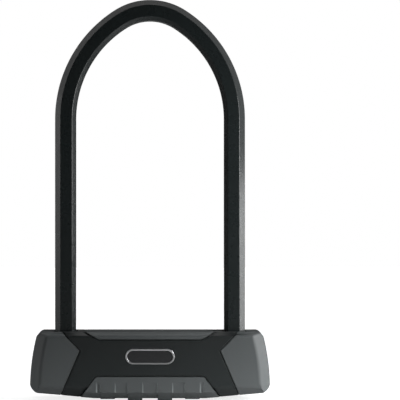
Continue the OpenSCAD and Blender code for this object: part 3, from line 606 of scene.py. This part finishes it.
class ULOCK_OT_shackle(bpy.types.Operator):
    """Vinyl coat with rounded flats over the steel U, and the bare steel feet"""

    bl_idname = "ulock.shackle"
    bl_label = "Shackle"

    def execute(self, context):
        shape = context.scene.ulock_shape
        outside = coat_section(shape.coated_width, shape.outer_flat, shape.inner_flat, shape.vinyl_edge, 4)
        less = shape.coat_thickness * (2.0 - math.sqrt(2.0))
        inside = coat_section(
            shape.coated_width - 2 * shape.coat_thickness, shape.outer_flat - less, shape.inner_flat - less, 0.0, 1)
        mesh = sweep(shackle_stations(shape), outside, inside)
        mesh.name = "shackle_sleeve_dressed"
        even_shading(place_piece(context, mesh, "shackle_sleeve"))
        rounded_copy(context, "shackle_bar", shape.metal_edge)
        return {"FINISHED"}


class ULOCK_OT_covers(bpy.types.Operator):
    """Moulded end caps, crossed band, top panel and grip panel"""

    bl_idname = "ulock.covers"
    bl_label = "Covers"

    def execute(self, context):
        shape = context.scene.ulock_shape
        for node in ("left_end_cap", "right_end_cap"):
            moulded_copy(context, node, shape.cap_edge)
        for node in ("front_cover", "rear_cover", "top_panel"):
            moulded_copy(context, node, shape.fold_edge)
        # The grip panel's pad steps are painted pale as a highlight.
        moulded_copy(context, "grip_panel", shape.pad_edge, highlit=True)
        return {"FINISHED"}


class ULOCK_OT_badge(bpy.types.Operator):
    """Plated rim round a bare black field"""

    bl_idname = "ulock.badge"
    bl_label = "Badge"

    def execute(self, context):
        shape = context.scene.ulock_shape
        rounded_copy(context, "badge_rim", shape.rim_edge)
        rounded_copy(context, "badge_plate", shape.metal_edge)
        return {"FINISHED"}


class ULOCK_OT_seals(bpy.types.Operator):
    """Rubber seals round the legs and bumpers under the feet"""

    bl_idname = "ulock.seals"
    bl_label = "Seals"

    def execute(self, context):
        for node in ("left_leg_seal", "right_leg_seal", "left_foot_bumper", "right_foot_bumper"):
            rounded_copy(context, node, context.scene.ulock_shape.metal_edge)
        return {"FINISHED"}


class ULOCK_OT_works(bpy.types.Operator):
    """Key face and shutter with soft edges, and finishes for the works inside the case"""

    bl_idname = "ulock.works"
    bl_label = "Lock works"

    def execute(self, context):
        for node in ("core_face", "keyhole_shutter", "left_bolt", "right_bolt", "drive_cam"):
            rounded_copy(context, node, context.scene.ulock_shape.metal_edge / 2)
        for node, solid in frame["nodes"].items():
            if not solid.hide_render:
                for slot in solid.material_slots:
                    slot.material = finishes_of(context, node)[0]
        return {"FINISHED"}


def floor_finish(settings):
    """A pale floor that takes the lock's shadow and lets the lens see white, or nothing from below."""
    material = bpy.data.materials.new("pale_floor")
    material.use_nodes = True
    nodes, links = material.node_tree.nodes, material.node_tree.links
    shader = nodes["Principled BSDF"]
    shader.inputs["Base Color"].default_value = (*settings.floor, 1.0)
    shader.inputs["Roughness"].default_value = 0.9
    white = nodes.new("ShaderNodeEmission")
    seen = nodes.new("ShaderNodeLightPath")
    place = nodes.new("ShaderNodeTexCoord")
    away = nodes.new("ShaderNodeVectorMath")
    away.operation = "LENGTH"
    links.new(place.outputs["Object"], away.inputs[0])
    level = nodes.new("ShaderNodeMapRange")
    level.interpolation_type = "SMOOTHSTEP"
    level.inputs["From Max"].default_value = settings.floor_reach
    level.inputs["To Min"].default_value = settings.floor_near
    level.inputs["To Max"].default_value = settings.floor_far
    links.new(away.outputs["Value"], level.inputs["Value"])
    amount = nodes.new("ShaderNodeMath")
    amount.operation = "MULTIPLY"
    links.new(seen.outputs["Is Camera Ray"], amount.inputs[0])
    links.new(level.outputs["Result"], amount.inputs[1])
    links.new(amount.outputs["Value"], white.inputs["Strength"])
    glow = nodes.new("ShaderNodeAddShader")
    links.new(shader.outputs["BSDF"], glow.inputs[0])
    links.new(white.outputs["Emission"], glow.inputs[1])
    side = nodes.new("ShaderNodeNewGeometry")
    clear = nodes.new("ShaderNodeBsdfTransparent")
    choose = nodes.new("ShaderNodeMixShader")
    links.new(side.outputs["Backfacing"], choose.inputs["Fac"])
    links.new(glow.outputs["Shader"], choose.inputs[1])
    links.new(clear.outputs["BSDF"], choose.inputs[2])
    links.new(choose.outputs["Shader"], nodes["Material Output"].inputs["Surface"])
    return material


def soft_lamp(context, name, power, size, place, aim, spread):
    """A rectangular lamp at a place, turned towards an aim."""
    lamp = bpy.data.lights.new(name, "AREA")
    lamp.energy = power
    lamp.spread = spread
    lamp.shape = "RECTANGLE"
    lamp.size, lamp.size_y = size
    holder = bpy.data.objects.new(name, lamp)
    holder.location = place
    holder.rotation_euler = (Vector(aim) - Vector(place)).to_track_quat("-Z", "Y").to_euler()
    context.scene.collection.objects.link(holder)


# Each lamp's name, power setting, width and height, place, aim and spread.
LAMPS = (
    ("key_lamp", "key_power", (0.13, 0.16), (0.27, -0.16, 0.18), (0.0, 0.0, 0.08), math.pi),
    ("rim_lamp", "rim_power", (0.03, 0.16), (0.3, 0.0, 0.084), (0.06, 0.0, 0.074), math.radians(70.0)),
    ("left_lamp", "left_power", (0.08, 0.3), (-0.36, 0.0, 0.14), (-0.06, 0.0, 0.1), math.pi),
    ("back_lamp", "back_power", (0.5, 0.2), (0.0, 0.42, 0.5), (0.0, 0.0, 0.05), math.pi),
)


class ULOCK_OT_stage(bpy.types.Operator):
    """Pale floor, even studio light and a camera at the picture's angle"""

    bl_idname = "ulock.stage"
    bl_label = "Stage"

    def execute(self, context):
        settings = context.scene.ulock_stage
        mesh = bpy.data.meshes.new("floor")
        corners = [(x * FLOOR_HALF, y * FLOOR_HALF, 0.0) for x, y in ((-1, -1), (1, -1), (1, 1), (-1, 1))]
        mesh.from_pydata(corners, [], [(0, 1, 2, 3)])
        floor = bpy.data.objects.new("floor", mesh)
        mesh.materials.append(floor_finish(settings))
        context.scene.collection.objects.link(floor)
        self.surround(context, settings)
        for name, setting, size, place, aim, spread in LAMPS:
            soft_lamp(context, name, getattr(settings, setting), size, place, aim, spread)
        lens = bpy.data.cameras.new("camera")
        lens.sensor_width = SENSOR_WIDTH
        lens.lens = settings.focal_pixels / PHOTO_PIXELS * lens.sensor_width
        lens.shift_x = settings.shift
        camera = bpy.data.objects.new("camera", lens)
        camera.location = (0.0, -settings.camera_distance, settings.camera_height)
        camera.rotation_euler = (math.pi / 2, 0.0, 0.0)
        context.scene.collection.objects.link(camera)
        context.scene.camera = camera
        context.scene.view_settings.view_transform = "Standard"
        return {"FINISHED"}

    def surround(self, context, settings):
        """White where the lens looks past the lock. Elsewhere dim, with a band of light round the lock's own plane."""
        world = bpy.data.worlds.new("studio")
        world.use_nodes = True
        nodes, links = world.node_tree.nodes, world.node_tree.links
        dim = nodes["Background"]
        dim.inputs["Color"].default_value = (1.0, 1.0, 1.0, 1.0)
        direction = nodes.new("ShaderNodeTexCoord")
        axes = nodes.new("ShaderNodeSeparateXYZ")
        links.new(direction.outputs["Generated"], axes.inputs["Vector"])
        behind = nodes.new("ShaderNodeMath")
        behind.operation = "SUBTRACT"
        behind.inputs[1].default_value = math.sin(settings.ring_lean)
        links.new(axes.outputs["Y"], behind.inputs[0])
        lean = nodes.new("ShaderNodeMath")
        lean.operation = "ABSOLUTE"
        links.new(behind.outputs["Value"], lean.inputs[0])
        band = nodes.new("ShaderNodeMapRange")
        band.interpolation_type = "SMOOTHSTEP"
        band.inputs["From Max"].default_value = math.sin(settings.ring_width)
        band.inputs["To Min"].default_value = settings.ring_light
        band.inputs["To Max"].default_value = settings.ambient
        links.new(lean.outputs["Value"], band.inputs["Value"])
        links.new(band.outputs["Result"], dim.inputs["Strength"])
        white = nodes.new("ShaderNodeBackground")
        white.inputs["Color"].default_value = (1.0, 1.0, 1.0, 1.0)
        seen = nodes.new("ShaderNodeLightPath")
        choose = nodes.new("ShaderNodeMixShader")
        links.new(seen.outputs["Is Camera Ray"], choose.inputs["Fac"])
        links.new(dim.outputs["Background"], choose.inputs[1])
        links.new(white.outputs["Background"], choose.inputs[2])
        links.new(choose.outputs["Shader"], nodes["World Output"].inputs["Surface"])
        context.scene.world = world


class ULOCK_PT_panel(bpy.types.Panel):
    """Buttons and settings in the 3D view's sidebar"""

    bl_idname = "ULOCK_PT_panel"
    bl_label = "U-lock"
    bl_space_type = "VIEW_3D"
    bl_region_type = "UI"
    bl_category = "U-lock"

    def draw(self, context):
        for operator in OPERATORS:
            self.layout.operator(operator.bl_idname)
        for group in (context.scene.ulock_shape, context.scene.ulock_finish, context.scene.ulock_stage):
            box = self.layout.box()
            for name in group.__annotations__:
                box.prop(group, name)


OPERATORS = (ULOCK_OT_shackle, ULOCK_OT_covers, ULOCK_OT_badge, ULOCK_OT_seals, ULOCK_OT_works, ULOCK_OT_stage)
GROUPS = {"ulock_shape": ULOCK_PG_shape, "ulock_finish": ULOCK_PG_finish, "ulock_stage": ULOCK_PG_stage}


def register():
    for cls in (*GROUPS.values(), *OPERATORS, ULOCK_PT_panel):
        bpy.utils.register_class(cls)
    for name, group in GROUPS.items():
        setattr(bpy.types.Scene, name, PointerProperty(type=group))


def unregister():
    for name in GROUPS:
        delattr(bpy.types.Scene, name)
    for cls in (ULOCK_PT_panel, *reversed(OPERATORS), *reversed(GROUPS.values())):
        bpy.utils.unregister_class(cls)


def main():
    register()
    bpy.ops.ulock.shackle()
    bpy.ops.ulock.covers()
    bpy.ops.ulock.badge()
    bpy.ops.ulock.seals()
    bpy.ops.ulock.works()
    bpy.ops.ulock.stage()


if __name__ == "__main__":
    main()
